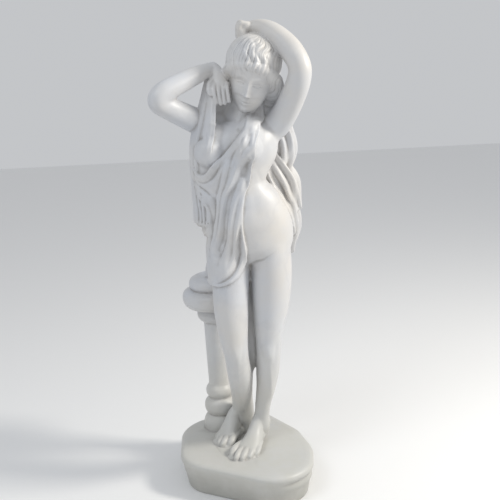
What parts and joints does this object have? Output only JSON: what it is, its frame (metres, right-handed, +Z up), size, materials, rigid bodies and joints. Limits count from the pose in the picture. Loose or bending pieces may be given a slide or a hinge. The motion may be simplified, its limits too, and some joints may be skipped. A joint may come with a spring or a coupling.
{
  "type": "garden statue",
  "caption": "Marble garden statue of a draped woman with raised arms, beside a short column on a low lobed plinth.",
  "frame": {"origin": "on the flat underside of the plinth, below the middle of the figure", "axes": "+Z up; -Y is the side that the figure faces; +X towards the figure's left"},
  "size_m": [0.477, 0.5036, 1.4862],
  "materials": {
    "marble": "honed white marble, weathered to a soft sheen"
  },
  "bodies": {
    "root": {"statue": "marble"}
  },
  "joints": []
}
